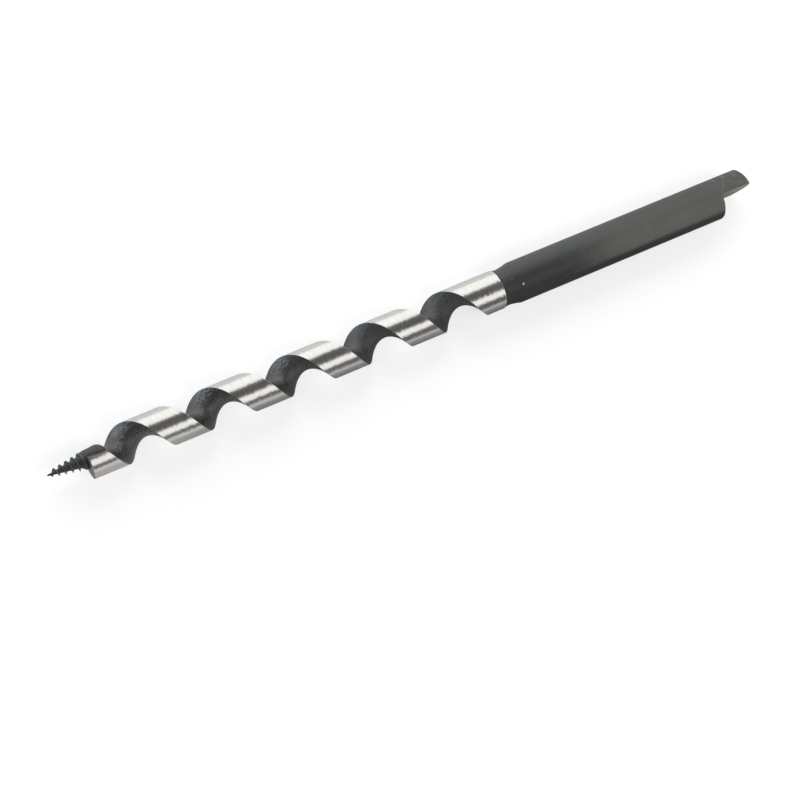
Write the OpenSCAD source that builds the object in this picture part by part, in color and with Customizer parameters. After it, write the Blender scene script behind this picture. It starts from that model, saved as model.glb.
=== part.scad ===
// Auger bit for drilling timber: a half-round bar twisted right-handed, with a screw point and a
// half-moon drive tang. The axis is the X axis, the point lies at -X, and the origin is at the
// shoulder of the tang, the plane that stops against the key of the drive socket.

/* [Lead screw] */
// Length of the screw point in front of the cutting head
screw_len = 16; // [12:0.5:24]
// Advance of the screw thread in one turn
thread_pitch = 3; // [2:0.25:4]
// Height of the thread over its root cone
thread_h = 1.3; // [0.6:0.1:1.6]
// Radius of the root cone at the very tip
point_r = 0.3; // [0.2:0.05:0.6]
// Radius of the root cone at the cutting head
root_r = 2.8; // [2.2:0.1:3.6]
// Radius of the plain stem that lies in the head
stem_r = 4.6; // [3.5:0.1:5]
// Rounding of the rear end of the stem
stem_round = 3; // [1:0.25:3.25]

/* [Cutting head and twist] */
// Outside diameter over the ground lands
bit_d = 18; // [16:0.5:24]
// Length of the straight cutting head
head_len = 10; // [7:0.5:14]
// Angle at which the front of the head falls back behind its cutting lip
lip_relief = 10; // [0:1:18]
// Arc that the land covers in a cross-section, in degrees
land_angle = 157; // [140:1:170]
// Height of the flute face over the axis
crown_h = 0.7; // [0.3:0.1:1.5]
// Advance of the twist in one turn
pitch = 39; // [32:1:52]
// Length of the flute behind the head, to the middle of its end
flute_len = 185; // [120:1:260]
// Length over which the flute runs out
runout_len = 8; // [5:0.5:12]
// Length of the round tail behind the flute
tail_len = 10.5; // [10:0.5:30]

/* [Neck and spigot] */
// Length of the neck between tail and shank
neck_len = 9; // [5:0.5:12]
// Diameter of the neck where it leaves the tail
neck_front_d = 17.8; // [14:0.1:18]
// Diameter of the neck at its waist
neck_waist_d = 16.8; // [13:0.1:17]
// Distance from the tail to the waist
waist_x = 3; // [1.5:0.25:4]
// Diameter of the spigot on the tail
spigot_d = 10; // [7:0.5:11]
// Length of the spigot that enters the shank
spigot_len = 14; // [8:0.5:25]

/* [Shank and tang] */
// Diameter of the drive shank
shank_d = 19; // [18:0.5:25]
// Length of the round part of the shank
shank_len = 110; // [60:0.5:180]
// Length of the half-moon tang
tang_len = 19; // [12:0.5:30]
// Radius of the domed end of the tang
dome_r = 12.3; // [10:0.1:20]
// Distance of the tang flat from the axis
flat_offset = 0; // [-2:0.1:2]
// Chamfer round the drive end of the shank
shank_chamfer = 0.5; // [0.2:0.1:1]

/* [Fits] */
// Gap round the stem in its seat, filled with braze
braze_gap = 0.05; // [0.02:0.01:0.1]
// Gap round the spigot in the neck and the socket
spigot_gap = 0.1; // [0.05:0.05:0.2]
// Space left at the bottom of the socket
socket_relief = 0.5; // [0.2:0.1:1]

/* [Hidden] */
$fn = 96;

bit_r = bit_d / 2;
shank_r = shank_d / 2;
spigot_r = spigot_d / 2;

// Stations along the axis, measured from the tip of the screw
head_x = screw_len;
twist_x = head_x + head_len;
neck_x = twist_x + flute_len + tail_len;
shank_x = neck_x + neck_len;
tang_x = shank_x + shank_len;

// Half-round section: the land is an arc about the axis, the flute face a flat arc about face_c
flute_half = 180 - land_angle / 2;
face_c = (pow(bit_r, 2) - pow(crown_h, 2)) / (2 * (crown_h - bit_r * cos(flute_half)));
face_r = face_c + crown_h;

// Mesh steps of the twist: a ring every ring_step degrees of twist
ring_step = 12;
land_steps = 12;
flute_steps = 16;
body_len = flute_len + tail_len;
twist_rings = ceil(body_len / pitch * 360 / ring_step);

// The end of the flute lies square to its helix, so it shifts along the axis with the angle
land_slope = pitch / (2 * PI * bit_r);
runout_shift = land_slope * bit_r / (1 + pow(land_slope, 2));

// Mesh steps of the screw: as many sides as rings in a turn, so that the crest runs on the mesh
thread_sides = 20;
thread_rings = round(screw_len / thread_pitch * thread_sides);

// Half the width of the thread's foot, and the place of its crest at +Y, as shares of its pitch
thread_foot = 0.2;
crest_share = 0.1;

// Mesh steps of the neck, and the power of the curve by which it flares to the shank
neck_steps = 12;
flare_power = 1.5;

// Length by which a cut runs past the face it opens, and a joined solid runs into its neighbour
overrun = 1;

// Places children, built along +Z, with their axis on the bit's axis and their base at station x
module on_axis(x) {
    translate([x - tang_x, 0, 0])
        rotate([90, 0, 90])
            children();
}

function smooth(t) = let (s = max(0, min(1, t))) s * s * (3 - 2 * s);

// Joins rings of points into a closed solid; all rings have the same number of points
module ring_solid(rings) {
    sides = len(rings[0]);
    last = len(rings) - 1;
    walls = [
        for (k = [0 : last - 1], i = [0 : sides - 1])
            let (j = (i + 1) % sides, a = k * sides, b = a + sides)
                each [[a + i, b + i, a + j], [a + j, b + i, b + j]]
    ];
    front = [for (i = [0 : sides - 1]) i];
    rear = [for (i = [sides - 1 : -1 : 0]) last * sides + i];
    points = [for (ring = rings) each ring];
    polyhedron(points, concat([front], walls, [rear]), convexity = 12);
}

// Angles of the section's points from the middle of the flute, closest together at the land's edges
section_angles = concat(
    [for (i = [0 : flute_steps]) flute_half * sin(90 * (2 * i / flute_steps - 1))],
    [for (i = [1 : land_steps - 1]) flute_half + land_angle * i / land_steps]
);

// Distance from the axis to the section's edge at an angle from the middle of the flute
function section_r(a) = a >= flute_half ? bit_r
    : sqrt(pow(face_c * cos(a), 2) + pow(face_r, 2) - pow(face_c, 2)) - face_c * cos(a);

// How far the flute is closed: 0 in the open flute and 1 in the round tail
function closing(x, a) = smooth((x + runout_shift * a * PI / 180 - flute_len) / runout_len + 0.5);

function twist_ring(x) = [
    for (a = section_angles)
        let (r = section_r(a), r2 = r + (bit_r - r) * closing(x, a), turn = 360 * x / pitch + a)
            [r2 * cos(turn), r2 * sin(turn), x]
];

// Height of the thread at a share of its pitch behind the crest, with a run-in at the tip
function thread_lift(share, x) =
    let (off = min(share, 1 - share) / thread_foot)
        thread_h * max(0, 1 - off) * smooth(x / thread_pitch);

function screw_ring(x) = [
    for (i = [0 : thread_sides - 1])
        let (share = x / thread_pitch - crest_share - i / thread_sides, turn = 360 * i / thread_sides)
            let (r = point_r + (root_r - point_r) * x / screw_len + thread_lift(share - floor(share), x))
                [r * cos(turn), r * sin(turn), x]
];

module lead_screw() {
    color([0.22, 0.22, 0.23]) {
        on_axis(0)
            ring_solid([for (k = [0 : thread_rings]) screw_ring(screw_len * k / thread_rings)]);
        on_axis(head_x)
            stem();
    }
}

// Plain stem of the screw with a rounded rear end that stops against the twist
module stem() {
    stem_len = head_len - braze_gap;
    rotate_extrude() {
        square([stem_r, stem_len - stem_round]);
        square([stem_r - stem_round, stem_len]);
        intersection() {
            translate([stem_r - stem_round, stem_len - stem_round])
                circle(stem_round);
            square([stem_r, stem_len]);
        }
    }
}

module cutting_head() {
    color([0.78, 0.77, 0.75])
        on_axis(head_x)
            difference() {
                intersection() {
                    cylinder(h = head_len, r = bit_r);
                    translate([-face_c, 0, 0])
                        cylinder(h = head_len, r = face_r);
                }
                translate([0, 0, -overrun])
                    cylinder(h = head_len + 2 * overrun, r = stem_r + braze_gap);
                lip_clearance();
            }
}

// Space in front of the head, cleared from the cutting lip at +Z down to the heel
module lip_clearance() {
    translate([-bit_d, bit_r, 0])
        rotate([-lip_relief, 0, 0])
            translate([0, -2 * bit_d, -bit_d])
                cube([2 * bit_d, 2 * bit_d, bit_d]);
}

module twist_body() {
    color([0.72, 0.72, 0.72]) {
        on_axis(twist_x)
            ring_solid([for (k = [0 : twist_rings]) twist_ring(body_len * k / twist_rings)]);
        on_axis(neck_x - overrun)
            cylinder(h = overrun + neck_len + spigot_len, r = spigot_r);
    }
}

// Radius of the waisted neck at a distance behind the tail
function neck_r(x) = let (waist_r = neck_waist_d / 2)
    x < waist_x
        ? waist_r + (neck_front_d / 2 - waist_r) * pow(1 - x / waist_x, 2)
        : waist_r + (shank_r - waist_r) * pow((x - waist_x) / (neck_len - waist_x), flare_power);

module neck_weld() {
    outline = [for (i = [0 : neck_steps]) let (x = neck_len * i / neck_steps) [neck_r(x), x]];
    bore = spigot_r + spigot_gap;
    color([0.2, 0.2, 0.2])
        on_axis(neck_x)
            rotate_extrude()
                polygon(concat([[bore, 0]], outline, [[bore, neck_len]]));
}

module drive_shank() {
    color([0.2, 0.2, 0.2])
        on_axis(shank_x)
            difference() {
                union() {
                    cylinder(h = shank_len - shank_chamfer, r = shank_r);
                    translate([0, 0, shank_len - shank_chamfer])
                        cylinder(h = shank_chamfer, r1 = shank_r, r2 = shank_r - shank_chamfer);
                    tang();
                }
                translate([0, 0, -overrun])
                    cylinder(h = overrun + spigot_len + socket_relief, r = spigot_r + spigot_gap);
            }
}

// Half-moon tang: half of the shank's round, with a domed end
module tang() {
    tang_end = shank_len + tang_len;
    intersection() {
        cylinder(h = tang_end, r = shank_r);
        translate([0, 0, tang_end - dome_r])
            sphere(dome_r);
        translate([flat_offset, -shank_r, shank_len - shank_chamfer])
            cube([shank_d, shank_d, tang_len + shank_chamfer]);
    }
}

lead_screw();
cutting_head();
twist_body();
neck_weld();
drive_shank();
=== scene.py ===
# %% [markdown]
# An auger bit for timber, dressed for its portrait.
# The bit is a half-round bar twisted into a right-hand spiral. A screw point draws it into the wood,
# one cutting lip shaves the hole, and a round shank with a half-moon tang takes the drive.
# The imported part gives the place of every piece. Its solids are made of flat facets, so this script
# models each of the five pieces again with smooth surfaces, in the same place, and gives each its
# finish.

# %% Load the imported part
import math

import bmesh
import bpy
from mathutils import Matrix, Vector


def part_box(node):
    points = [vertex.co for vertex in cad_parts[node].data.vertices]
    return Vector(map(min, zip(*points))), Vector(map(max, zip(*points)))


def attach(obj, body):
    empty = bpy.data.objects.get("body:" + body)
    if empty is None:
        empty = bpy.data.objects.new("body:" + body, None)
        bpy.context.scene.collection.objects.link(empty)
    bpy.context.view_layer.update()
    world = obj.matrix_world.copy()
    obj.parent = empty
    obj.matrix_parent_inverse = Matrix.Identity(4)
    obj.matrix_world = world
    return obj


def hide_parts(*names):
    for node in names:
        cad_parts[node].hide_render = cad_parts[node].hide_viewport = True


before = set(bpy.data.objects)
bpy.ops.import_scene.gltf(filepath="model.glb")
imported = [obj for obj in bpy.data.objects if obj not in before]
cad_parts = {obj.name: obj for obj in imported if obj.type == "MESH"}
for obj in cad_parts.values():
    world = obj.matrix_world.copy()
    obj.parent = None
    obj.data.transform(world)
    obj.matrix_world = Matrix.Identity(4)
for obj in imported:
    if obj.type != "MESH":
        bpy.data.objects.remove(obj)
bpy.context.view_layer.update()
print("pieces of the packed part:", sorted(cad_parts))

# %% [markdown]
# The sizes come first, because every piece is set out along the same axis. The bit lies on the X axis
# with its point at -X, and X is zero at the shoulder where the tang starts. The stations are read from
# the boxes of the solids, so that a new pack moves the pieces along with it. Only the front of the head
# is set out by its length, because it leans back and its box starts a little behind its lip.

# %% Stations along the axis and the main radii
mm = 0.001
head_len = 10 * mm
tip_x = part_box("lead_screw")[0].x
twist_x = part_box("twist_body")[0].x
head_x = twist_x - head_len
neck_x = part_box("neck_weld")[0].x
shank_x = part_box("drive_shank")[0].x
shoulder_x = 0.0
tang_end_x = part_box("drive_shank")[1].x
stations = (tip_x, head_x, twist_x, neck_x, shank_x, tang_end_x)

bit_r = 9 * mm
shank_r = 9.5 * mm
print("stations in mm:", [round(x / mm, 2) for x in stations])

# %% [markdown]
# A finished piece is a mesh object at the origin, with its place in its vertices. Its doubles are
# merged before the normals are worked out, because a spun shape can come out inside out. Faces are
# shaded smooth, and edges that turn by more than a given angle are kept sharp, as on a machined part.

# %% Helper that turns a bmesh into a piece of the bit
merge_distance = 0.002 * mm


def make_piece(bm, name, node, sharp_angle):
    """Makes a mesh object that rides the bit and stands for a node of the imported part."""
    bmesh.ops.remove_doubles(bm, verts=bm.verts, dist=merge_distance)
    bmesh.ops.recalc_face_normals(bm, faces=bm.faces)
    open_edges = sum(not edge.is_manifold for edge in bm.edges)
    mesh = bpy.data.meshes.new(name)
    bm.to_mesh(mesh)
    bm.free()
    mesh.shade_smooth()
    mesh.set_sharp_from_angle(angle=math.radians(sharp_angle))
    piece = bpy.data.objects.new(name, mesh)
    bpy.context.scene.collection.objects.link(piece)
    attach(piece, "root")
    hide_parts(node)
    mesh.calc_loop_triangles()
    print(f"{name}: {len(mesh.loop_triangles)} triangles, {open_edges} open edges")
    return piece


# %% [markdown]
# The section of the twist is a half-round bar: the land is an arc about the axis, and the face of the
# flute is a much flatter arc that stands a little proud of the axis. The arcs could be typed in as
# points, but spinning one point about an axis draws an arc exactly. The first ring is drawn at full
# radius, with its points spaced evenly by angle, because the end of the flute grows back to that round.

# %% Draw the ring of the twist by spinning points
land_angle = math.radians(157)
flute_half = math.pi - land_angle / 2
crown = 0.7 * mm
face_offset = (bit_r**2 - crown**2) / (2 * (crown - bit_r * math.cos(flute_half)))
face_r = face_offset + crown
x_axis = Vector((1, 0, 0))


def on_circle(radius, angle, x):
    return Vector((x, radius * math.cos(angle), radius * math.sin(angle)))


def spin_arc(bm, start, angle, steps, centre=(0, 0, 0)):
    """Draws an arc from start, about an axis along X through centre."""
    first = bm.verts.new(start)
    bmesh.ops.spin(bm, geom=[first], cent=centre, axis=x_axis, angle=angle, steps=steps)


land_steps = 40
flute_steps = 44
corner_steps = 2
corner_angle = math.radians(1.2)
land_start = on_circle(bit_r, flute_half + corner_angle, twist_x)
flute_start = on_circle(bit_r, -flute_half + corner_angle, twist_x)

twist = bmesh.new()
spin_arc(twist, land_start, land_angle - 2 * corner_angle, land_steps)
spin_arc(twist, flute_start, 2 * (flute_half - corner_angle), flute_steps)
for side in (-1, 1):
    corner_start = on_circle(bit_r, side * flute_half - corner_angle, twist_x)
    spin_arc(twist, corner_start, 2 * corner_angle, corner_steps)
bmesh.ops.remove_doubles(twist, verts=twist.verts, dist=merge_distance)
ring = bmesh.ops.contextual_create(twist, geom=twist.edges[:])["faces"]
print("points round the twist:", len(twist.verts))

# %% [markdown]
# The real bar is twisted hot. A Screw modifier could sweep the ring too, but spin works inside the
# bmesh, so the flute can be shaped right after it. Its dvec setting makes the helix: at each step the
# ring turns a little and moves a little along the axis, with no drift. The face of the ring goes along,
# so both ends come out closed.

# %% Sweep the ring along its helix
pitch = 39 * mm
twist_len = neck_x - twist_x
steps_per_turn = 80
twist_steps = math.ceil(twist_len / pitch * steps_per_turn)
bmesh.ops.spin(
    twist,
    geom=ring + ring[0].edges[:] + ring[0].verts[:],
    axis=x_axis,
    dvec=(twist_len / twist_steps, 0, 0),
    angle=math.tau * twist_len / pitch,
    steps=twist_steps,
)
print("rings along the twist:", twist_steps + 1)

# %% [markdown]
# Now the flute is pressed in. It could be in the ring from the start, but then it could not run out at
# the tail. Each point knows its angle from the middle of the flute, and moves in to the flat arc at
# that angle. Towards the tail the press lets go over a short length, and runout_shift, a length for
# each radian round the bar, sets that end square to the helix. So the bar ends in a plain round. The
# two corners of the land are blunted a little, because a ground edge is never a perfect line and the
# blunt edge is what catches the light.

# %% Press the flute into the round bar
flute_len = 185 * mm
runout_len = 8 * mm
runout_shift = 4.206 * mm
corner_blunt = 0.06 * mm


def ease(share):
    share = max(0.0, min(1.0, share))
    return share * share * (3 - 2 * share)


def section_r(angle):
    if abs(angle) > flute_half + corner_angle / 2:
        return bit_r
    reach = face_offset * math.cos(angle)
    flute = math.sqrt(reach**2 + face_r**2 - face_offset**2) - reach
    return min(flute, bit_r - corner_blunt)


for vert in twist.verts:
    along = vert.co.x - twist_x
    turned = Matrix.Rotation(-math.tau * along / pitch, 3, "X") @ vert.co
    angle = math.atan2(turned.z, turned.y)
    closed = ease((along + runout_shift * angle - flute_len) / runout_len + 0.5)
    radius = section_r(angle)
    radius += (bit_r - radius) * closed
    vert.co.yz = vert.co.yz.normalized() * radius
print("flute pressed in over", round(flute_len / mm), "mm")

# %% [markdown]
# A small bevel breaks the edge at the tail, as a hand stone would. Behind it a round spigot goes
# through the neck and into the shank, and centres the weld between them. It is hidden, but it is what
# holds the pieces in line, so it is made as well: the rear face is inset to the spigot's circle and
# extruded.

# %% Break the tail's edge and grow the spigot from it
tail_break = 0.25 * mm
spigot_r = 5 * mm
spigot_len = 14 * mm


def break_edges(bm, edges, size):
    bmesh.ops.bevel(
        bm, geom=edges, offset=size, affect="EDGES", segments=2, profile=0.5, material=-1
    )


rear_edges = [e for e in twist.edges if all(abs(v.co.x - neck_x) < merge_distance for v in e.verts)]
break_edges(twist, rear_edges, tail_break)
rear_face = max(twist.faces, key=lambda face: face.calc_center_median().x)
rear_r = max(vert.co.yz.length for vert in rear_face.verts)
bmesh.ops.inset_individual(
    twist, faces=[rear_face], thickness=rear_r - spigot_r, use_even_offset=True
)
spigot_end = bmesh.ops.extrude_discrete_faces(twist, faces=[rear_face])["faces"][0]
bmesh.ops.translate(twist, verts=spigot_end.verts, vec=(shank_x - neck_x + spigot_len, 0, 0))
twist_body = make_piece(twist, "twist", "twist_body", sharp_angle=22)

# %% [markdown]
# The cutting head is the same half-round, not twisted, with a round seat for the stem of the screw. It
# could be cut from a solid with a Boolean, but its outline is only four kinds of arc, so the outline is
# spun point by point, filled and extruded. The seat narrows to the front, as the stem in it does.

# %% Draw the section of the cutting head and extrude it
seat_r = 4.9 * mm
seat_front_r = 4.2 * mm
seat_steps = 28
face_steps = 8
seat_y = (face_r**2 - face_offset**2 - seat_r**2) / (2 * face_offset)
seat_angle = math.acos(seat_y / seat_r)
corner = on_circle(bit_r, flute_half, head_x)
face_centre = Vector((0, -face_offset, 0))
corner_turn = math.atan2(corner.z, corner.y + face_offset)
seat_turn = math.atan2(seat_r * math.sin(seat_angle), seat_y + face_offset)

head = bmesh.new()
spin_arc(head, corner, land_angle, land_steps)
spin_arc(head, on_circle(seat_r, seat_angle, head_x), math.tau - 2 * seat_angle, seat_steps)
for side in (-1, 1):
    start = Vector((head_x, corner.y, side * corner.z))
    spin_arc(head, start, side * (seat_turn - corner_turn), face_steps, face_centre)
bmesh.ops.remove_doubles(head, verts=head.verts, dist=merge_distance)
section = bmesh.ops.contextual_create(head, geom=head.edges[:])["faces"]
grown = bmesh.ops.extrude_face_region(head, geom=section)["geom"]
rear_verts = [item for item in grown if isinstance(item, bmesh.types.BMVert)]
bmesh.ops.translate(head, verts=rear_verts, vec=(head_len, 0, 0))
front_verts = [vert for vert in head.verts if vert not in rear_verts]
for vert in front_verts:
    if vert.co.yz.length < seat_r + merge_distance:
        vert.co.yz = vert.co.yz.normalized() * seat_front_r
print("points on the head:", len(head.verts))

# %% [markdown]
# The lip cuts at the top, at +Z, so the front is ground back from there, or the heel would rub on the
# wood. Sharpening has also set the lip back a little. A plane cut could do it, but leaning the front
# face is enough: each of its points moves back by its distance below the lip. The twisting leaves the
# front turned a little against the rear, so the front points turn about the axis too. Long straight
# edges would cut the corner of such a turn, so they are subdivided and set back to the full radius.

# %% Grind the front of the head back from its lip
lip_relief = math.radians(7.2)
lip_set_back = 0.9 * mm
front_turn = Matrix.Rotation(math.radians(-6), 3, "X")
long_edge_cuts = 5
land_margin = 0.1 * mm
front_break = 0.15 * mm

for vert in front_verts:
    vert.co.x += lip_set_back + (bit_r - vert.co.z) * math.tan(lip_relief)
    vert.co = front_turn @ vert.co

front_edges = [e for e in head.edges if all(vert in front_verts for vert in e.verts)]
long_edges = [e for e in head.edges if e.calc_length() > head_len / 2]
bmesh.ops.subdivide_edges(head, edges=long_edges, cuts=long_edge_cuts, use_grid_fill=True)
for vert in head.verts:
    if vert.co.yz.length > bit_r - land_margin:
        vert.co.yz = vert.co.yz.normalized() * bit_r
break_edges(head, front_edges, front_break)
cutting_head = make_piece(head, "head", "cutting_head", sharp_angle=22)

# %% [markdown]
# The screw point is a thread on a cone. A curve along a helix could make it, but spin gives even rings
# that the next step can move. One pitch of the thread's outline, spun with dvec, makes an even screw on
# a thin wire. It starts in front of the tip, by as many turns as bring the crests to their places, and
# two plane cuts give it square ends.

# %% Spin the thread
thread_pitch = 3 * mm
thread_h = 1.3 * mm
thread_foot = 0.2
crest_power = 1.15
wire_r = 1 * mm
rib_end = 19 * mm
thread_steps = 40
turns_before_tip = 2.4
spare_turns = 4
screw_turns = math.ceil(rib_end / thread_pitch) + spare_turns

screw = bmesh.new()
thread_start = tip_x - turns_before_tip * thread_pitch
rising_shares = [0, 0.16, 0.3, 0.36, 0.43, 0.485]
falling_shares = [1 - share for share in reversed(rising_shares)]
outline = []
for share in rising_shares + falling_shares:
    lift = thread_h * max(0, 1 - abs(share - 0.5) / thread_foot) ** crest_power
    outline.append(screw.verts.new((thread_start + share * thread_pitch, wire_r + lift, 0)))
strip = [screw.edges.new(pair) for pair in zip(outline, outline[1:])]
bmesh.ops.spin(
    screw,
    geom=outline + strip,
    axis=x_axis,
    dvec=(thread_pitch / thread_steps, 0, 0),
    angle=math.tau * screw_turns,
    steps=screw_turns * thread_steps,
)
bmesh.ops.remove_doubles(screw, verts=screw.verts, dist=merge_distance)
for cut_x, outwards in ((tip_x, -x_axis), (tip_x + rib_end, x_axis)):
    bmesh.ops.bisect_plane(
        screw,
        geom=screw.verts[:] + screw.edges[:] + screw.faces[:],
        plane_co=(cut_x, 0, 0),
        plane_no=outwards,
        clear_outer=True,
    )
print("points on the thread:", len(screw.verts))

# %% [markdown]
# The wire then becomes a cone: every point moves out to the cone's radius and keeps its height in the
# thread. In front of the head the cone swells to a thick stem, and the thread drowns in it and leaves
# only faint ribs, because the thread cutter lifts out of the metal there.

# %% Give the thread its cone
point_r = 0.3 * mm
root_r = 2.8 * mm
screw_len = head_x - tip_x
swell_start = 14.5 * mm
swell_end = 17 * mm
swell_r = 4.0 * mm
stem_r = 4.6 * mm
stem_full = 23 * mm
rib_height = 0.12 * mm


def stem_line(along):
    return swell_r + (stem_r - swell_r) * (along - swell_end) / (stem_full - swell_end)


for vert in screw.verts:
    along = vert.co.x - tip_x
    lift = (vert.co.yz.length - wire_r) * ease(along / thread_pitch)
    cone = point_r + (root_r - point_r) * along / screw_len
    swell = ease((along - swell_start) / (swell_end - swell_start))
    cone += (stem_line(along) - cone) * swell
    fading = 1 - ease((along - swell_end) / (rib_end - swell_end))
    vert.co.yz = vert.co.yz.normalized() * min(cone + lift, stem_line(along) + rib_height * fading)
print("stem starts", round((swell_end - screw_len) / mm, 1), "mm behind the front of the head")

# %% [markdown]
# The stem behind the thread lies in the seat of the head, with a rounded rear end that is brazed down
# on the start of the flute. It grows out of the last ring of the thread: extrude the rim, set the new
# ring to its place and radius, repeat.

# %% Extrude the stem
end_round = 4.5 * mm
round_steps = 12


def arc_points(centre_x, centre_r, radius, start, end, steps):
    """Points (x, radius) of an arc in an outline, between two angles in degrees from the axis."""
    turns = [math.radians(start + (end - start) * step / steps) for step in range(steps + 1)]
    return [(centre_x + radius * math.cos(t), centre_r + radius * math.sin(t)) for t in turns]


stem_end = arc_points(tip_x + stem_full, stem_r - end_round, end_round, 90, 0, round_steps)
rim = [e for e in screw.edges if e.is_boundary and all(v.co.x > head_x for v in e.verts)]
for x, radius in stem_end:
    grown = bmesh.ops.extrude_edge_only(screw, edges=rim)["geom"]
    new_verts = {item for item in grown if isinstance(item, bmesh.types.BMVert)}
    rim = [e for e in grown if isinstance(e, bmesh.types.BMEdge) and new_verts.issuperset(e.verts)]
    for vert in new_verts:
        vert.co.x = x
        vert.co.yz = vert.co.yz.normalized() * radius
bmesh.ops.holes_fill(screw, edges=[e for e in screw.edges if e.is_boundary])
lead_screw = make_piece(screw, "screw", "lead_screw", sharp_angle=40)

# %% [markdown]
# The neck joins the twist to the shank: a short waist that swells to the shank's diameter. It is turned
# work, so it is made as on a lathe: half an outline, spun a full turn about the axis. The outline
# closes on itself, because the neck is a ring about the spigot inside it. A fine groove parts it from
# the bright land.

# %% Turn the neck
spigot_gap = 0.1 * mm
spigot_hole_r = spigot_r + spigot_gap
neck_front_r = 8.9 * mm
waist_r = 8.4 * mm
waist_len = 3 * mm
neck_len = shank_x - neck_x
flare_power = 1.5
corner_drop = 0.06 * mm
groove_drop = 0.3 * mm
neck_steps = 30
neck_sides = 72


def turn_outline(bm, points, sides):
    """Spins an outline of (x, radius) points a full turn about the bit's axis."""
    verts = [bm.verts.new((x, radius, 0)) for x, radius in points]
    edges = [bm.edges.new(pair) for pair in zip(verts, verts[1:])]
    bmesh.ops.spin(
        bm, geom=verts + edges, axis=x_axis, angle=math.tau, steps=sides, use_merge=True
    )


def neck_r(along):
    if along < waist_len:
        return waist_r + (neck_front_r - waist_r) * (1 - along / waist_len) ** 2
    flare = (along - waist_len) / (neck_len - waist_len)
    return waist_r + (shank_r - corner_drop - waist_r) * flare**flare_power


neck = bmesh.new()
neck_outline = [(neck_x, spigot_hole_r), (neck_x, neck_front_r - groove_drop)]
for step in range(1, neck_steps + 1):
    along = neck_len * step / neck_steps
    neck_outline.append((neck_x + along, neck_r(along)))
neck_outline += [(shank_x, spigot_hole_r), (neck_x, spigot_hole_r)]
turn_outline(neck, neck_outline, neck_sides)
neck_weld = make_piece(neck, "neck", "neck_weld", sharp_angle=30)

# %% [markdown]
# The shank is turned too, with a soft front corner and a domed rear end. A blind hole in its front
# takes the spigot. Its outline starts and ends on the axis, so the spin closes it at both poles.

# %% Turn the shank
dome_r = 12.3 * mm
dome_centre = tang_end_x - dome_r
dome_start = math.degrees(math.asin(shank_r / dome_r))
corner_run = 1.5 * mm
socket_relief = 0.5 * mm
socket_end_x = shank_x + spigot_len + socket_relief
shank_sides = 96

shank = bmesh.new()
shank_outline = [
    (socket_end_x, 0),
    (socket_end_x, spigot_hole_r),
    (shank_x, spigot_hole_r),
    (shank_x, shank_r - corner_drop),
    (shank_x + corner_run / 3, shank_r - corner_drop / 4),
    (shank_x + corner_run, shank_r),
]
shank_outline += arc_points(dome_centre, 0, dome_r, dome_start, 0, round_steps)
turn_outline(shank, shank_outline, shank_sides)
bmesh.ops.remove_doubles(shank, verts=shank.verts, dist=merge_distance)
print("points on the turned shank:", len(shank.verts))

# %% [markdown]
# The half-moon is milled away on the real shank. A Boolean with a box could cut it, but two plane cuts
# mark it out exactly where it is wanted: one round the shoulder, and one along the tang. Then the faces
# of the waste are deleted.

# %% Mill the half-moon


def past_the_shoulder(face):
    return face.calc_center_median().x > shoulder_x


bmesh.ops.bisect_plane(
    shank,
    geom=shank.verts[:] + shank.edges[:] + shank.faces[:],
    plane_co=(shoulder_x, 0, 0),
    plane_no=x_axis,
)
tang_faces = [face for face in shank.faces if past_the_shoulder(face)]
tang_edges = {edge for face in tang_faces for edge in face.edges}
tang_verts = {vert for face in tang_faces for vert in face.verts}
bmesh.ops.bisect_plane(
    shank,
    geom=[*tang_verts, *tang_edges, *tang_faces],
    dist=merge_distance,
    plane_co=(0, 0, 0),
    plane_no=(0, 1, 0),
)
waste = [f for f in shank.faces if past_the_shoulder(f) and f.calc_center_median().y < 0]
bmesh.ops.delete(shank, geom=waste, context="FACES")
print("faces milled away:", len(waste))

# %% [markdown]
# The milled shoulder and flat are open now. An edge across the root of the tang parts the hole in two,
# and each half is filled with one face. A bevel breaks the edges that the cutter left.

# %% Close the shoulder and the flat
cutter_break = 0.35 * mm


def at_shoulder(vert):
    return abs(vert.co.x - shoulder_x) < merge_distance


rim = [edge for edge in shank.edges if edge.is_boundary]
rim_verts = {vert for edge in rim for vert in edge.verts}
root_verts = [vert for vert in rim_verts if at_shoulder(vert) and abs(vert.co.y) < merge_distance]
root_edge = bmesh.ops.contextual_create(shank, geom=root_verts)["edges"]
shoulder_rim = [edge for edge in rim if all(at_shoulder(vert) for vert in edge.verts)]
flat_rim = [edge for edge in rim if edge not in shoulder_rim]
bmesh.ops.contextual_create(shank, geom=shoulder_rim + root_edge)
bmesh.ops.contextual_create(shank, geom=flat_rim + root_edge)
break_edges(shank, shoulder_rim + flat_rim, cutter_break)
drive_shank = make_piece(shank, "shank", "drive_shank", sharp_angle=30)

# %% [markdown]
# Each finish is built from shader nodes. The nodes are wired in code, so a few small helpers keep the
# wiring short: feed sets or links a socket, and the others add one node and give back its output. The
# Mix node has a set of sockets for numbers and another for colours under the same names, so they are
# picked by their order.

# %% Helpers that wire shader nodes


def feed(socket, value):
    """Links a socket to another socket, or sets it to a plain number or colour."""
    if isinstance(value, bpy.types.NodeSocket):
        socket.id_data.links.new(value, socket)
    else:
        socket.default_value = value


def calc(tree, operation, *values):
    node = tree.nodes.new("ShaderNodeMath")
    node.operation = operation
    for socket, value in zip(node.inputs, values):
        feed(socket, value)
    return node.outputs["Value"]


def rise(tree, value, low, high):
    """0 below low, 1 above high and a soft step between; low above high makes a falling step."""
    node = tree.nodes.new("ShaderNodeMapRange")
    node.interpolation_type = "SMOOTHSTEP"
    feed(node.inputs["Value"], value)
    node.inputs["From Min"].default_value = low
    node.inputs["From Max"].default_value = high
    return node.outputs["Result"]


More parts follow.
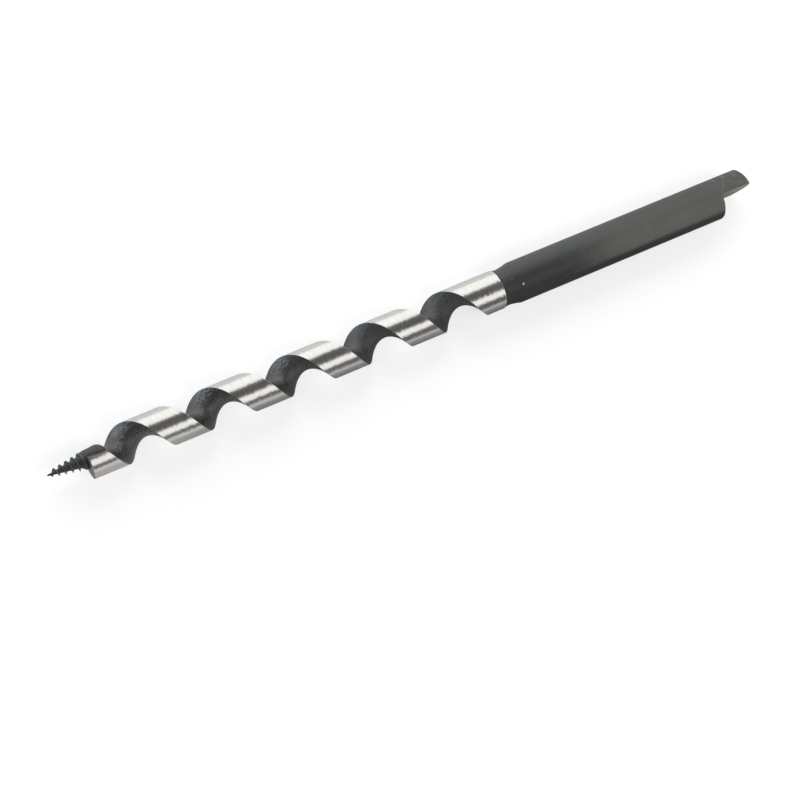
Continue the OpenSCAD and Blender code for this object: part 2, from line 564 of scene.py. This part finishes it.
def blend_values(tree, factor, low, high):
    node = tree.nodes.new("ShaderNodeMix")
    for order, value in ((0, factor), (2, low), (3, high)):
        feed(node.inputs[order], value)
    return node.outputs[0]


def blend_colours(tree, factor, low, high):
    node = tree.nodes.new("ShaderNodeMix")
    node.data_type = "RGBA"
    for order, value in ((0, factor), (6, low), (7, high)):
        feed(node.inputs[order], value)
    return node.outputs[2]


print("helpers for values and colours are ready")

# %% [markdown]
# Patterns read Object coordinates, which are metres in the bit's own frame, so they stay on the metal
# when it moves. A Mapping node stretches them, and noise does the rest.

# %% Helpers for patterns on the metal


def stretched(tree, scale):
    """Object coordinates, stretched: a larger number packs the pattern closer along that axis."""
    coordinates = tree.nodes.new("ShaderNodeTexCoord")
    mapping = tree.nodes.new("ShaderNodeMapping")
    mapping.inputs["Scale"].default_value = scale
    feed(mapping.inputs["Vector"], coordinates.outputs["Object"])
    return mapping.outputs["Vector"]


def in_millimetres(tree):
    return stretched(tree, (1 / mm, 1 / mm, 1 / mm))


def noise(tree, scale, detail, roughness=0.5):
    node = tree.nodes.new("ShaderNodeTexNoise")
    feed(node.inputs["Vector"], stretched(tree, scale))
    node.inputs["Scale"].default_value = 1
    node.inputs["Detail"].default_value = detail
    node.inputs["Roughness"].default_value = roughness
    return node.outputs["Fac"]


print("helpers for patterns are ready")

# %% [markdown]
# Three effects are used by more than one finish, so each is a node group. The first measures where a
# point lies, in millimetres: how far along the axis, how far out from it, and how far to its side and
# above it. The distance out gives the bit its two colours, as on the real one: the whole bar is black
# from the forge, and a wheel cleans only what stands at the full radius.

# %% Group that measures a place on the bit


def new_group(name, takes, gives):
    """Starts a node group; takes and gives map the name of a socket to its kind, Float or Vector."""
    group = bpy.data.node_groups.new(name, "ShaderNodeTree")
    for way, sockets in (("INPUT", takes), ("OUTPUT", gives)):
        for label, kind in sockets.items():
            group.interface.new_socket(label, in_out=way, socket_type="NodeSocket" + kind)
    group_in = group.nodes.new("NodeGroupInput").outputs
    group_out = group.nodes.new("NodeGroupOutput").inputs
    return group, group_in, group_out


def place_group(tree, group, **values):
    node = tree.nodes.new("ShaderNodeGroup")
    node.node_tree = group
    for label, value in values.items():
        feed(node.inputs[label], value)
    return node.outputs


axis_group, _, axis_out = new_group(
    "place_on_the_bit", {}, {"Along": "Float", "Out": "Float", "Side": "Float", "Up": "Float"}
)
place = axis_group.nodes.new("ShaderNodeSeparateXYZ")
feed(place.inputs["Vector"], in_millimetres(axis_group))
square_y = calc(axis_group, "MULTIPLY", place.outputs["Y"], place.outputs["Y"])
square_z = calc(axis_group, "MULTIPLY", place.outputs["Z"], place.outputs["Z"])
feed(axis_out["Along"], place.outputs["X"])
feed(axis_out["Out"], calc(axis_group, "SQRT", calc(axis_group, "ADD", square_y, square_z)))
feed(axis_out["Side"], place.outputs["Y"])
feed(axis_out["Up"], place.outputs["Z"])
print("group:", axis_group.name)

# %% [markdown]
# The second is the trace of the grinding wheel: fine lines round the axis. A noise that is packed close
# along the axis and stretched across it gives lines of uneven strength. Each line is also cut by its
# own grit, so its metal leans a little to one side. Leaning the normal round the axis, line by line,
# makes the edges of the reflections ragged, which is what tells ground steel from polished steel.

# %% Group for the grinding lines
broad_share = 0.35


def calc_vector(tree, operation, first, second=None, scale=None):
    node = tree.nodes.new("ShaderNodeVectorMath")
    node.operation = operation
    feed(node.inputs[0], first)
    if second is not None:
        feed(node.inputs[1], second)
    if scale is not None:
        feed(node.inputs["Scale"], scale)
    return node.outputs["Vector"]


grind_group, grind_in, grind_out = new_group(
    "grinding_lines", {"Strength": "Float"}, {"Fine": "Float", "Normal": "Vector"}
)
fine = noise(grind_group, (3000, 140, 140), 3, 0.6)
broad = noise(grind_group, (900, 110, 110), 2)
lean = calc(grind_group, "SUBTRACT", blend_values(grind_group, broad_share, fine, broad), 0.5)
lean = calc(grind_group, "MULTIPLY", lean, grind_in["Strength"])
normal = grind_group.nodes.new("ShaderNodeNewGeometry").outputs["Normal"]
round_the_axis = calc_vector(grind_group, "CROSS_PRODUCT", x_axis, normal)
sideways = calc_vector(grind_group, "SCALE", round_the_axis, scale=lean)
leaning = calc_vector(grind_group, "ADD", normal, sideways)
feed(grind_out["Fine"], fine)
feed(grind_out["Normal"], calc_vector(grind_group, "NORMALIZE", leaning))
print("group:", grind_group.name)

# %% [markdown]
# The third is the skin that heat and oil leave on black steel: clouds of slightly different black, fine
# grain, and patches where the skin is smoother and shines.

# %% Group for the black skin
skin_group, _, skin_out = new_group(
    "black_skin", {}, {"Clouds": "Float", "Grain": "Float", "Patches": "Float"}
)
patch_noise = noise(skin_group, (420, 420, 420), 4, 0.65)
feed(skin_out["Clouds"], noise(skin_group, (160, 160, 160), 3, 0.6))
feed(skin_out["Grain"], noise(skin_group, (650, 650, 650), 3, 0.7))
feed(skin_out["Patches"], rise(skin_group, patch_noise, 0.42, 0.62))
print("group:", skin_group.name)

# %% [markdown]
# Every finish is one material with one Principled shader. Its colours run between a darker and a
# lighter shade of the same metal or oxide, so that no face is a single flat tone, and a Bump node gives
# the fine height that would be too costly as geometry.

# %% Helpers that start a finish


def new_finish(name):
    material = bpy.data.materials.new(name)
    material.use_nodes = True
    tree = material.node_tree
    return material, tree, tree.nodes["Principled BSDF"]


def add_bump(tree, shader, height, distance, normal=None):
    bump = tree.nodes.new("ShaderNodeBump")
    bump.inputs["Distance"].default_value = distance
    feed(bump.inputs["Height"], height)
    if normal is not None:
        feed(bump.inputs["Normal"], normal)
    feed(shader.inputs["Normal"], bump.outputs["Normal"])


def blend_shades(tree, factor, colour, low_share, high_share):
    """A colour that runs from a darker to a lighter shade of itself."""
    low, high = ((*(share * part for part in colour), 1) for share in (low_share, high_share))
    return blend_colours(tree, factor, low, high)


print("helpers for finishes are ready")

# %% [markdown]
# The twist wears both coats: bright lands and a black flute. They could be two materials on two sets of
# faces, but a mask on the distance from the axis parts them where the wheel did, at the full radius.
# The ground steel is a metal, so its colour is that of its reflections. The black skin is an oxide, so
# it is a dark paint-like coat with a soft gloss, which fades towards the tail, where fewer chips polish
# it. The head has a third surface: its front, which a hand stone has dulled to a grey between the two.

# %% Finish of the twist and the head
oxide_ior = 1.85
stone_grey = (0.13, 0.125, 0.12, 1)
flute_black = (0.0262, 0.0258, 0.025)
twist_steel = (0.556, 0.544, 0.522)
head_steel = (0.56, 0.53, 0.505)
land_edge = (bit_r / mm - 0.16, bit_r / mm - 0.1)
front_facing = (-0.5, -0.8)
gloss_fades = (-255, -165)
dull_rough = 0.5
grind_strength = 0.3
grind_height = 0.02
skin_height = 0.6 * mm


def ground_and_black(name, steel, front_share):
    """Bright lands on a black bar; front_share is 1 where a face to the front is stoned grey."""
    material, tree, shader = new_finish(name)
    at = place_group(tree, axis_group)
    skin = place_group(tree, skin_group)
    facing = tree.nodes.new("ShaderNodeSeparateXYZ")
    feed(facing.inputs["Vector"], tree.nodes.new("ShaderNodeTexCoord").outputs["Normal"])
    to_the_front = rise(tree, facing.outputs["X"], *front_facing)
    stoned = calc(tree, "MULTIPLY", to_the_front, front_share)
    ground = calc(tree, "MAXIMUM", rise(tree, at["Out"], *land_edge), stoned)
    lines = place_group(tree, grind_group, Strength=calc(tree, "MULTIPLY", ground, grind_strength))

    steel_tone = blend_shades(tree, lines["Fine"], steel, 0.74, 1.16)
    mottled = blend_values(tree, 0.6, skin["Clouds"], skin["Grain"])
    black_tone = blend_shades(tree, mottled, flute_black, 0.3, 1.7)
    tone = blend_colours(tree, ground, black_tone, steel_tone)
    feed(shader.inputs["Base Color"], blend_colours(tree, stoned, tone, stone_grey))
    feed(shader.inputs["Metallic"], calc(tree, "SUBTRACT", ground, stoned))

    steel_rough = blend_values(tree, lines["Fine"], 0.16, 0.32)
    black_rough = blend_values(tree, skin["Patches"], 0.34, 0.2)
    faded = rise(tree, at["Along"], *gloss_fades)
    black_rough = blend_values(tree, faded, black_rough, dull_rough)
    rough = blend_values(tree, ground, black_rough, steel_rough)
    feed(shader.inputs["Roughness"], blend_values(tree, stoned, rough, dull_rough))
    shader.inputs["IOR"].default_value = oxide_ior

    black_height = calc(tree, "SUBTRACT", skin["Grain"], 0.5)
    steel_height = calc(tree, "MULTIPLY", lines["Fine"], grind_height)
    height = blend_values(tree, ground, black_height, steel_height)
    add_bump(tree, shader, height, skin_height, lines["Normal"])
    return material


twist_finish = ground_and_black("ground_lands_black_flute", twist_steel, front_share=0)
head_finish = ground_and_black("ground_head", head_steel, front_share=1)
twist_body.data.materials.append(twist_finish)
cutting_head.data.materials.append(head_finish)
print("finishes:", twist_finish.name, head_finish.name)

# %% [markdown]
# The screw is dark and dull from its hardening oil, and only the crests of its thread, which the wood
# scours, are lighter. The height over the cone is what tells a crest from the root, so the finish works
# out the cone again from the distance along the axis.

# %% Finish of the screw
screw_dark = (0.036, 0.036, 0.0345, 1)
screw_light = (0.068, 0.068, 0.065, 1)
scoured_steel = (0.3, 0.29, 0.27, 1)
crest_heights = (0.7, 1.2)
screw_grain = 0.06 * mm

screw_finish, tree, shader = new_finish("dark_screw_steel")
at = place_group(tree, axis_group)
skin = place_group(tree, skin_group)
from_tip = calc(tree, "SUBTRACT", at["Along"], tip_x / mm)
cone_mm = calc(tree, "MULTIPLY_ADD", from_tip, (root_r - point_r) / screw_len, point_r / mm)
over_cone = calc(tree, "SUBTRACT", at["Out"], cone_mm)
on_thread = rise(tree, from_tip, swell_end / mm, swell_start / mm)
scoured = calc(tree, "MULTIPLY", rise(tree, over_cone, *crest_heights), on_thread)
scoured = calc(tree, "MULTIPLY", scoured, rise(tree, skin["Grain"], 0.35, 0.6))
dark_tone = blend_colours(tree, skin["Clouds"], screw_dark, screw_light)
feed(shader.inputs["Base Color"], blend_colours(tree, scoured, dark_tone, scoured_steel))
feed(shader.inputs["Metallic"], calc(tree, "MULTIPLY", scoured, 0.8))
feed(shader.inputs["Roughness"], blend_values(tree, skin["Grain"], 0.44, 0.62))
add_bump(tree, shader, skin["Grain"], screw_grain)
lead_screw.data.materials.append(screw_finish)
print("finish:", screw_finish.name)

# %% [markdown]
# Neck and shank are blacked with a hot oxide. It is bluish and darker near the neck, where the weld's
# heat went, and turns to an even greenish grey towards the drive end, where hands and sockets rub it.
# Both tones also change across the bit, from +Y to -Y, and this change is painted light and shade
# rather than a tone of the oxide. Near the neck the -Y side is painted darker as shade, and in the
# rubbed part it is painted lighter as light, so that the rubbed grey looks even. From -Y round to the
# bottom, painted shade darkens the lower edge to near black. The tones could be painted on vertices,
# but ranges in millimetres are easier to set and don't depend on the mesh.

# %% Finish of the neck and the shank: the black oxide
rub_starts, rub_ends = -80, -40
cloud_reach = 24
# The far tone is the +Y side; the darker -Y tone near the neck is painted shade.
heated_far, heated_painted_shade = (0.054, 0.056, 0.058, 1), (0.024, 0.025, 0.026, 1)
painted_shade_sides = (7, -9)
# The lighter -Y tone of the rubbed part is painted light on the shaded side.
rubbed_far, rubbed_painted_light = (0.064, 0.067, 0.059, 1), (0.163, 0.17, 0.149, 1)
painted_light_sides = (8, -4)
# Near black for the painted shade on the lower edge of the round.
painted_shade_black = (0.013, 0.0135, 0.0135, 1)
shade_side_weight, shade_up_weight = -0.87, -0.5
painted_shade_edge = (2, 5)
stain_black = (0.02, 0.02, 0.02, 1)
stain_strength = 0.45

oxide_finish, tree, shader = new_finish("black_oxide")
at = place_group(tree, axis_group)
skin = place_group(tree, skin_group)
cloudy_along = calc(tree, "MULTIPLY_ADD", skin["Clouds"], cloud_reach, at["Along"])
rubbed = rise(tree, cloudy_along, rub_starts, rub_ends)
# Painted shade and painted light across the bit, from +Y to -Y.
painted_shade_share = rise(tree, at["Side"], *painted_shade_sides)
heated_tone = blend_colours(tree, painted_shade_share, heated_far, heated_painted_shade)
painted_light_share = rise(tree, at["Side"], *painted_light_sides)
rubbed_tone = blend_colours(tree, painted_light_share, rubbed_far, rubbed_painted_light)
oxide_tone = blend_colours(tree, rubbed, heated_tone, rubbed_tone)
# Painted shade: from -Y round to the bottom, the lower edge goes to near black.
low = calc(tree, "MULTIPLY_ADD", at["Up"], shade_up_weight, calc(tree, "MULTIPLY", at["Side"], shade_side_weight))
oxide_tone = blend_colours(tree, rise(tree, low, *painted_shade_edge), oxide_tone, painted_shade_black)
stained = calc(tree, "MULTIPLY", skin["Clouds"], skin["Grain"])
stain_tone = blend_colours(tree, stain_strength, oxide_tone, stain_black)
oxide_tone = blend_colours(tree, stained, oxide_tone, stain_tone)
oxide_rough = blend_values(tree, skin["Grain"], blend_values(tree, rubbed, 0.45, 0.6), 0.6)
print("oxide is rubbed even from about", rub_ends - cloud_reach // 2, "mm on")

# %% [markdown]
# The flat of the tang and the shoulder were milled after blacking, so they show bare steel with a brown
# tint and stains of old oil, with the lines of the cutter across them. They could have a material of
# their own, but the cutter's edge is a straight line in the bit's frame, so two masks find it.

# %% Finish of the shank: milled flat
milled_dark, milled_light = (0.3, 0.265, 0.235, 1), (0.7, 0.63, 0.565, 1)
oil_brown = (0.2, 0.165, 0.14, 1)
shoulder_edge = (-0.06, 0.02)
flat_edge = (0.14, 0.05)

past_shoulder = rise(tree, at["Along"], *shoulder_edge)
milled = calc(tree, "MULTIPLY", past_shoulder, rise(tree, at["Side"], *flat_edge))
cutter_lines = noise(tree, (2200, 60, 160), 3, 0.6)
clean = rise(tree, noise(tree, (90, 90, 170), 4, 0.6), 0.3, 0.7)
milled_tone = blend_colours(tree, cutter_lines, milled_dark, milled_light)
milled_tone = blend_colours(tree, clean, oil_brown, milled_tone)
milled_rough = blend_values(tree, cutter_lines, 0.3, 0.5)
milled_height = calc(tree, "MULTIPLY", cutter_lines, 0.3)
print("milled face starts at", flat_edge[1], "mm beside the axis")

# %% [markdown]
# The drive socket has scuffed the round of the tang and left one long scratch at its root, which runs
# askew over the round. Two small nicks near the neck show bright steel. They are too small to be worth
# faces of their own, so each nick is a soft spot round a point, and the bump presses it in.

# %% Finish of the shank: scuffs, scratch and nicks
scuff_strength = 0.5
scratch_slope = -0.65
nick_place = on_circle(shank_r / mm, math.radians(110), shank_x / mm + 0.3)
faint_nick_place = on_circle(waist_r / mm + 0.1, math.radians(86.5), shank_x / mm - 3.8)
faint_nick_strength = 0.4


def spot(tree, centre, inner, outer):
    """1 within inner of a point on the bit and 0 beyond outer; all in millimetres."""
    node = tree.nodes.new("ShaderNodeVectorMath")
    node.operation = "DISTANCE"
    feed(node.inputs[0], in_millimetres(tree))
    node.inputs[1].default_value = centre
    return rise(tree, node.outputs["Value"], outer, inner)


scuffs = rise(tree, noise(tree, (320, 320, 320), 5, 0.75), 0.5, 0.66)
scuffs = calc(tree, "MULTIPLY", scuffs, rise(tree, at["Along"], -6, 2))
scuffs = calc(tree, "MULTIPLY", scuffs, scuff_strength)
across = calc(tree, "MULTIPLY_ADD", at["Side"], scratch_slope, at["Along"])
scratch = calc(tree, "MULTIPLY", rise(tree, across, 0.1, 0.45), rise(tree, across, 1.0, 0.65))
scratch = calc(tree, "MULTIPLY", scratch, rise(tree, at["Side"], -0.5, 1))
marks = calc(tree, "MAXIMUM", scuffs, calc(tree, "MULTIPLY", scratch, skin["Grain"]))
nick = spot(tree, nick_place, 0.38, 0.62)
faint_nick = spot(tree, faint_nick_place, 0.15, 0.4)
faint_nick = calc(tree, "MULTIPLY", faint_nick, faint_nick_strength)
nicks = calc(tree, "ADD", nick, faint_nick)
print("nick at", [round(value, 1) for value in nick_place], "mm")

# %% [markdown]
# Now the layers go over each other: the oxide with its marks of use, then the milled faces, then the
# nicks. Each layer covers the one before by its own mask. The milled faces are not pure metal, because
# a film of oil lies on them.

# %% Finish of the shank: all layers
scuff_grey = (0.19, 0.19, 0.185, 1)
bright_steel = (0.62, 0.61, 0.6, 1)
milled_metal = 0.75
oxide_grain = 0.8
shank_height = 0.08 * mm

tone = blend_colours(tree, marks, oxide_tone, scuff_grey)
tone = blend_colours(tree, milled, tone, milled_tone)
feed(shader.inputs["Base Color"], blend_colours(tree, nicks, tone, bright_steel))
bare = calc(tree, "MAXIMUM", nicks, calc(tree, "MULTIPLY", milled, milled_metal))
feed(shader.inputs["Metallic"], bare)
feed(shader.inputs["Roughness"], blend_values(tree, milled, oxide_rough, milled_rough))
pressed_in = calc(tree, "MULTIPLY", nicks, -1)
oxide_height = calc(tree, "MULTIPLY_ADD", skin["Grain"], oxide_grain, pressed_in)
height = blend_values(tree, milled, oxide_height, milled_height)
add_bump(tree, shader, height, shank_height)
neck_weld.data.materials.append(oxide_finish)
drive_shank.data.materials.append(oxide_finish)
print("finish:", oxide_finish.name)

# %% [markdown]
# The bit lies on a plain white floor. The floor touches the shank, which is the thickest part. A single
# large face is enough, because it only has to reach past the edges of the view.

# %% Floor
floor_size = 12

floor_bm = bmesh.new()
bmesh.ops.create_grid(floor_bm, x_segments=1, y_segments=1, size=floor_size)
bmesh.ops.translate(floor_bm, verts=floor_bm.verts, vec=(0, 0, -shank_r))
floor_mesh = bpy.data.meshes.new("floor")
floor_bm.to_mesh(floor_mesh)
floor_bm.free()
floor = bpy.data.objects.new("floor", floor_mesh)
bpy.context.scene.collection.objects.link(floor)
print("floor at", round(floor_mesh.vertices[0].co.z / mm, 2), "mm")

# %% [markdown]
# To show as clean white the floor could be lit more, but that would bleach the bit. So it glows a
# little instead, only for the camera and in reflections, adds no light to the bit, and keeps the bit's
# soft shadow. In reflections its glow is left out in a strip along the bit, mostly on the side of that
# shadow, which is a painted shadow. It is half bright before the point, so that the metal keeps its
# dark edges.

# %% Paint of the floor
floor_pale = (0.65, 0.65, 0.65, 1)
floor_rough = 0.9
floor_glow = 0.63
light_side = (-5, 32)
shadow_side = (-20, -160)
point_reach = (-220, -310)
point_glow = 0.5

floor_paint, tree, shader = new_finish("pale_floor")
shader.inputs["Base Color"].default_value = floor_pale
shader.inputs["Roughness"].default_value = floor_rough
shader.inputs["Specular IOR Level"].default_value = 0
path = tree.nodes.new("ShaderNodeLightPath")
in_view = path.outputs["Is Camera Ray"]
mirrored = calc(tree, "MAXIMUM", path.outputs["Is Glossy Ray"], path.outputs["Is Transmission Ray"])
seen = calc(tree, "MAXIMUM", in_view, mirrored)
feed(shader.inputs["Emission Strength"], calc(tree, "MULTIPLY", seen, floor_glow))

# Painted shadow: in reflections the glow is left out in a strip along the bit, mostly on its shadow
# side.
at = place_group(tree, axis_group)
lit = rise(tree, at["Side"], *light_side)
past_shadow = rise(tree, at["Side"], *shadow_side)
before_point = calc(tree, "MULTIPLY", rise(tree, at["Along"], *point_reach), point_glow)
glow_past_painted_shadow = calc(tree, "MAXIMUM", calc(tree, "MAXIMUM", lit, past_shadow), before_point)
feed(shader.inputs["Emission Color"], calc(tree, "MAXIMUM", in_view, glow_past_painted_shadow))
floor.data.materials.append(floor_paint)
print("paint:", floor_paint.name)

# %% [markdown]
# The room round the bit is a dim grey, which is what shows in the dark stripes of the metal. It is
# paler beyond the two ends of the bit, as the walls of a room are, so that the lands don't look black
# to someone who looks along the bit from its point or from its tang.

# %% World
room_grey = (0.14, 0.14, 0.14, 1)
wall_grey = (0.5, 0.5, 0.5, 1)
tang_wall_edge = (0.55, 0.85)
point_wall_edge = (-0.6, -0.88)
point_wall_foot = (0.15, 0.35)

world = bpy.data.worlds.new("studio")
bpy.context.scene.world = world
world.use_nodes = True
tree = world.node_tree
direction = tree.nodes.new("ShaderNodeSeparateXYZ")
feed(direction.inputs["Vector"], tree.nodes.new("ShaderNodeTexCoord").outputs["Generated"])
tang_wall = rise(tree, direction.outputs["X"], *tang_wall_edge)
point_wall = rise(tree, direction.outputs["X"], *point_wall_edge)
above_foot = rise(tree, direction.outputs["Z"], *point_wall_foot)
point_wall = calc(tree, "MULTIPLY", point_wall, above_foot)
walls = calc(tree, "MAXIMUM", tang_wall, point_wall)
room_tone = blend_colours(tree, walls, room_grey, wall_grey)
feed(tree.nodes["Background"].inputs["Color"], room_tone)
print("world:", world.name)

# %% [markdown]
# Bright round metal shows the lamps themselves, as stripes along the bit, so the lamps are placed by
# the stripes that a photograph of such a bit has: a wide bright one over its upper side, a dark one
# along its middle, a second bright one below it, and a thin bright one after a dark line. Each of these
# lamps is a long soft box parallel to the bit, at an angle round the axis and cut to the length that
# the lands mirror. Its brightness is the light of its surface, and the power follows from its area. A
# last lamp stands low in front like a window: its bluish light shines into the flutes.

# %% Lamps
bit_middle = Vector((-0.16, 0, 0))
lamp_distance = 1.1


def softbox(name, target, outwards, along, distance, width, length, brightness, colour=(1, 1, 1)):
    """A soft rectangular lamp at a distance outwards from its target, with its length set along."""
    lamp = bpy.data.lights.new(name, "AREA")
    lamp.shape = "RECTANGLE"
    lamp.size = length
    lamp.size_y = width
    lamp.energy = brightness * math.pi * width * length
    lamp.color = colour
    holder = bpy.data.objects.new(name, lamp)
    holder.visible_camera = False
    bpy.context.scene.collection.objects.link(holder)
    turn = Matrix((along, outwards.cross(along), outwards)).transposed().to_4x4()
    holder.matrix_world = Matrix.Translation(target + outwards * distance) @ turn
    print(f"{name}: {lamp.energy:.2f} W")


def long_softbox(name, lowest, highest, brightness, front=-1.66, rear=1.34):
    """A lamp from front to rear along X that fills an angle round the bit, in degrees from +Y."""
    half = math.radians(highest - lowest) / 2
    target = Vector(((front + rear) / 2, 0, 0))
    outwards = on_circle(1, math.radians(lowest) + half, 0)
    width = 2 * lamp_distance * math.tan(half)
    softbox(name, target, outwards, x_axis, lamp_distance, width, rear - front, brightness)


long_softbox("key_softbox", lowest=0, highest=56.5, brightness=1.65, front=-0.55)
long_softbox("fill_softbox", lowest=109.5, highest=142.5, brightness=1.58, front=-0.4, rear=0.9)
long_softbox("low_softbox", lowest=165, highest=180, brightness=0.95, rear=0.15)
window_way = Vector((-0.87, 0.48, 0.1)).normalized()
softbox(
    "window_softbox",
    target=bit_middle,
    outwards=window_way,
    along=window_way.cross(Vector((0, 0, 1))).normalized(),
    distance=1.5,
    width=0.3,
    length=0.95,
    brightness=8.5,
    colour=(0.74, 0.87, 1),
)

# %% [markdown]
# The camera stands where the photograph was taken from: in front of the point, high up, with the bit
# rising from the lower left to the upper right. Its direction is given by its right and up directions,
# which were found by fitting the outline of the bit to the photograph.

# %% Camera
camera_lens = 123.98
camera_sensor = 36
camera_place = Vector((-0.62294, -0.13581, 1.1136))
camera_right = Vector((0.8566, -0.4216, 0.2977)).normalized()
camera_up = Vector((0.3640, 0.9025, 0.2307))

camera_data = bpy.data.cameras.new("photo_camera")
camera_data.lens = camera_lens
camera_data.sensor_width = camera_sensor
camera = bpy.data.objects.new("photo_camera", camera_data)
bpy.context.scene.collection.objects.link(camera)
camera_back = camera_right.cross(camera_up).normalized()
camera_up = camera_back.cross(camera_right)
camera_turn = Matrix((camera_right, camera_up, camera_back)).transposed().to_4x4()
camera.matrix_world = Matrix.Translation(camera_place) @ camera_turn
bpy.context.scene.camera = camera
bpy.context.scene.view_settings.view_transform = "Standard"
print("camera at", [round(value, 3) for value in camera.matrix_world.translation])
